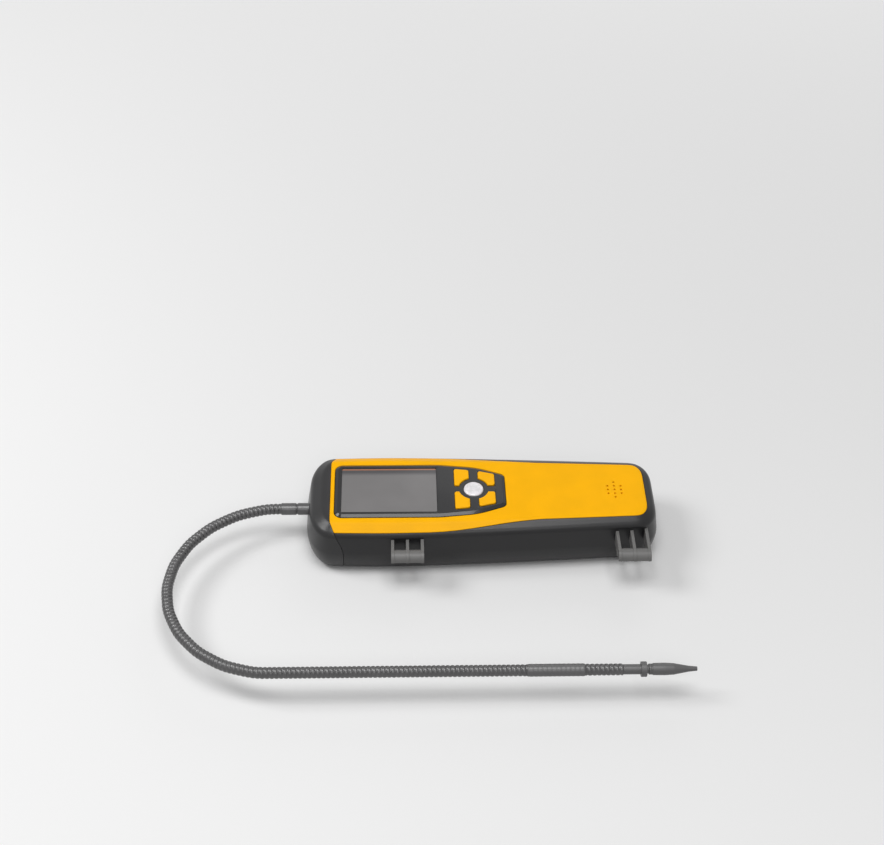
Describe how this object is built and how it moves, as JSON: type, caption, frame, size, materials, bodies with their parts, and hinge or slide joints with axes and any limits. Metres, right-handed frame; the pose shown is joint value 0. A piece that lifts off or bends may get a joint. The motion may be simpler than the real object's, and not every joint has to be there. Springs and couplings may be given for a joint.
{
  "type": "refrigerant leak detector",
  "caption": "Hand-held refrigerant gas leak detector: tapered yellow and dark grey housing with display, keypad and side clips, and a curved ribbed gooseneck probe with a fine tip.",
  "frame": {"origin": "centre of the flat back of the housing, on which it lies", "axes": "+X along the housing from the nose with the probe to the tail, +Z out of the face, -Y towards the side with the clips and the returning probe"},
  "size_m": [0.2899, 0.1581, 0.0362],
  "materials": {
    "panel_yellow": "fine-grained moulded plastic",
    "case_dark": "dark grey moulded plastic with a soft grain",
    "nose_black": "matt black soft plastic",
    "window_black": "glossy black insert",
    "lens_grey": "clear window over a switched-off screen",
    "display_glass": "screen module",
    "key_yellow": "soft-touch key",
    "key_pearl": "pearl silver key",
    "switch_black": "black moulding",
    "board_green": "solder-masked board",
    "screw_steel": "plated steel",
    "socket_steel": "plated shell",
    "cell_can": "wrapped cell",
    "cell_alu": "machined block",
    "motor_can": "motor can",
    "hose_grey": "silicone hose",
    "clip_grey": "grey moulded plastic",
    "neck_black": "black coated gooseneck",
    "nut_steel": "plated nut",
    "sleeve_black": "smooth shrunk sleeve",
    "tip_black": "black moulded tip",
    "filter_white": "filter wad"
  },
  "bodies": {
    "housing": {"front_panel": "panel_yellow", "rear_case": "case_dark", "nose_cap": "nose_black", "window_frame": "window_black", "display_lens": "lens_grey", "display_panel": "display_glass", "key_switches": "switch_black", "main_board": "board_green", "board_screws": "screw_steel", "case_screws": "screw_steel", "sounder": "switch_black", "usb_socket": "socket_steel", "battery": "cell_can", "gas_cell": "cell_alu", "pump_head": "switch_black", "pump_motor": "motor_can", "inlet_hose": "hose_grey", "link_hose": "hose_grey", "front_clip": "clip_grey", "rear_clip": "clip_grey", "neck_ferrule": "neck_black", "neck_lock_nut": "nut_steel", "neck_root": "neck_black"},
    "top_left_key": {"key_top_left": "key_yellow"},
    "top_right_key": {"key_top_right": "key_yellow"},
    "bottom_left_key": {"key_bottom_left": "key_yellow"},
    "bottom_right_key": {"key_bottom_right": "key_yellow"},
    "round_key": {"centre_key": "key_pearl"},
    "neck_bend_1": {"neck_link_1": "neck_black"},
    "neck_bend_2": {"neck_link_2": "neck_black"},
    "neck_bend_3": {"neck_link_3": "neck_black"},
    "neck_bend_4": {"neck_link_4": "neck_black"},
    "neck_bend_5": {"neck_link_5": "neck_black"},
    "neck_bend_6": {"neck_link_6": "neck_black"},
    "neck_bend_7": {"neck_link_7": "neck_black"},
    "neck_bend_8": {"neck_link_8": "neck_black"},
    "neck_bend_9": {"neck_link_9": "neck_black"},
    "neck_bend_10": {"neck_link_10": "neck_black"},
    "probe_end": {"neck_run": "neck_black", "neck_sleeve": "sleeve_black", "neck_end": "neck_black", "tip_adapter": "tip_black", "tip_filter": "filter_white", "tip_nozzle": "tip_black"}
  },
  "joints": [
    {"name": "top_left_key_press", "type": "slide", "parent": "housing", "child": "top_left_key", "axis": [0, 0, -1], "range_m": [0, 0.0006], "stiffness_N_per_m": 1500, "springref_m": -0.0003},
    {"name": "top_right_key_press", "type": "slide", "parent": "housing", "child": "top_right_key", "axis": [0, 0, -1], "range_m": [0, 0.0006], "stiffness_N_per_m": 1500, "springref_m": -0.0003},
    {"name": "bottom_left_key_press", "type": "slide", "parent": "housing", "child": "bottom_left_key", "axis": [0, 0, -1], "range_m": [0, 0.0006], "stiffness_N_per_m": 1500, "springref_m": -0.0003},
    {"name": "bottom_right_key_press", "type": "slide", "parent": "housing", "child": "bottom_right_key", "axis": [0, 0, -1], "range_m": [0, 0.0006], "stiffness_N_per_m": 1500, "springref_m": -0.0003},
    {"name": "round_key_press", "type": "slide", "parent": "housing", "child": "round_key", "axis": [0, 0, -1], "range_m": [0, 0.0006], "stiffness_N_per_m": 1500, "springref_m": -0.0003},
    {"name": "neck_flex_1", "type": "hinge", "parent": "housing", "child": "neck_bend_1", "pos_m": [-0.1255, 0, 0.0195], "axis": [0, 0, -1], "range_deg": [-0.8, 16.31]},
    {"name": "neck_flex_2", "type": "hinge", "parent": "neck_bend_1", "child": "neck_bend_2", "pos_m": [-0.14213, -0.00488, 0.0195], "axis": [0, 0, -1], "range_deg": [-0.8, 16.31]},
    {"name": "neck_flex_3", "type": "hinge", "parent": "neck_bend_2", "child": "neck_bend_3", "pos_m": [-0.15671, -0.01425, 0.0195], "axis": [0, 0, -1], "range_deg": [-0.8, 16.31]},
    {"name": "neck_flex_4", "type": "hinge", "parent": "neck_bend_3", "child": "neck_bend_4", "pos_m": [-0.16806, -0.02735, 0.0195], "axis": [0, 0, -1], "range_deg": [-0.8, 16.31]},
    {"name": "neck_flex_5", "type": "hinge", "parent": "neck_bend_4", "child": "neck_bend_5", "pos_m": [-0.17525, -0.04311, 0.0195], "axis": [0, 0, -1], "range_deg": [-0.8, 16.31]},
    {"name": "neck_flex_6", "type": "hinge", "parent": "neck_bend_5", "child": "neck_bend_6", "pos_m": [-0.17772, -0.06027, 0.0195], "axis": [0, 0, -1], "range_deg": [-0.8, 16.31]},
    {"name": "neck_flex_7", "type": "hinge", "parent": "neck_bend_6", "child": "neck_bend_7", "pos_m": [-0.17525, -0.07742, 0.0195], "axis": [0, 0, -1], "range_deg": [-0.8, 16.31]},
    {"name": "neck_flex_8", "type": "hinge", "parent": "neck_bend_7", "child": "neck_bend_8", "pos_m": [-0.16806, -0.09318, 0.0195], "axis": [0, 0, -1], "range_deg": [-0.8, 16.31]},
    {"name": "neck_flex_9", "type": "hinge", "parent": "neck_bend_8", "child": "neck_bend_9", "pos_m": [-0.15671, -0.10628, 0.0195], "axis": [0, 0, -1], "range_deg": [-0.8, 16.31]},
    {"name": "neck_flex_10", "type": "hinge", "parent": "neck_bend_9", "child": "neck_bend_10", "pos_m": [-0.14213, -0.11565, 0.0195], "axis": [0, 0, -1], "range_deg": [-0.8, 16.31]},
    {"name": "neck_flex_11", "type": "hinge", "parent": "neck_bend_10", "child": "probe_end", "pos_m": [-0.1255, -0.12053, 0.0195], "axis": [0, 0, -1], "range_deg": [-0.8, 16.31]}
  ],
  "couplings": [
    {"joint": "neck_flex_2", "follows": "neck_flex_1", "ratio": 1},
    {"joint": "neck_flex_3", "follows": "neck_flex_1", "ratio": 1},
    {"joint": "neck_flex_4", "follows": "neck_flex_1", "ratio": 1},
    {"joint": "neck_flex_5", "follows": "neck_flex_1", "ratio": 1},
    {"joint": "neck_flex_6", "follows": "neck_flex_1", "ratio": 1},
    {"joint": "neck_flex_7", "follows": "neck_flex_1", "ratio": 1},
    {"joint": "neck_flex_8", "follows": "neck_flex_1", "ratio": 1},
    {"joint": "neck_flex_9", "follows": "neck_flex_1", "ratio": 1},
    {"joint": "neck_flex_10", "follows": "neck_flex_1", "ratio": 1},
    {"joint": "neck_flex_11", "follows": "neck_flex_1", "ratio": 1}
  ]
}
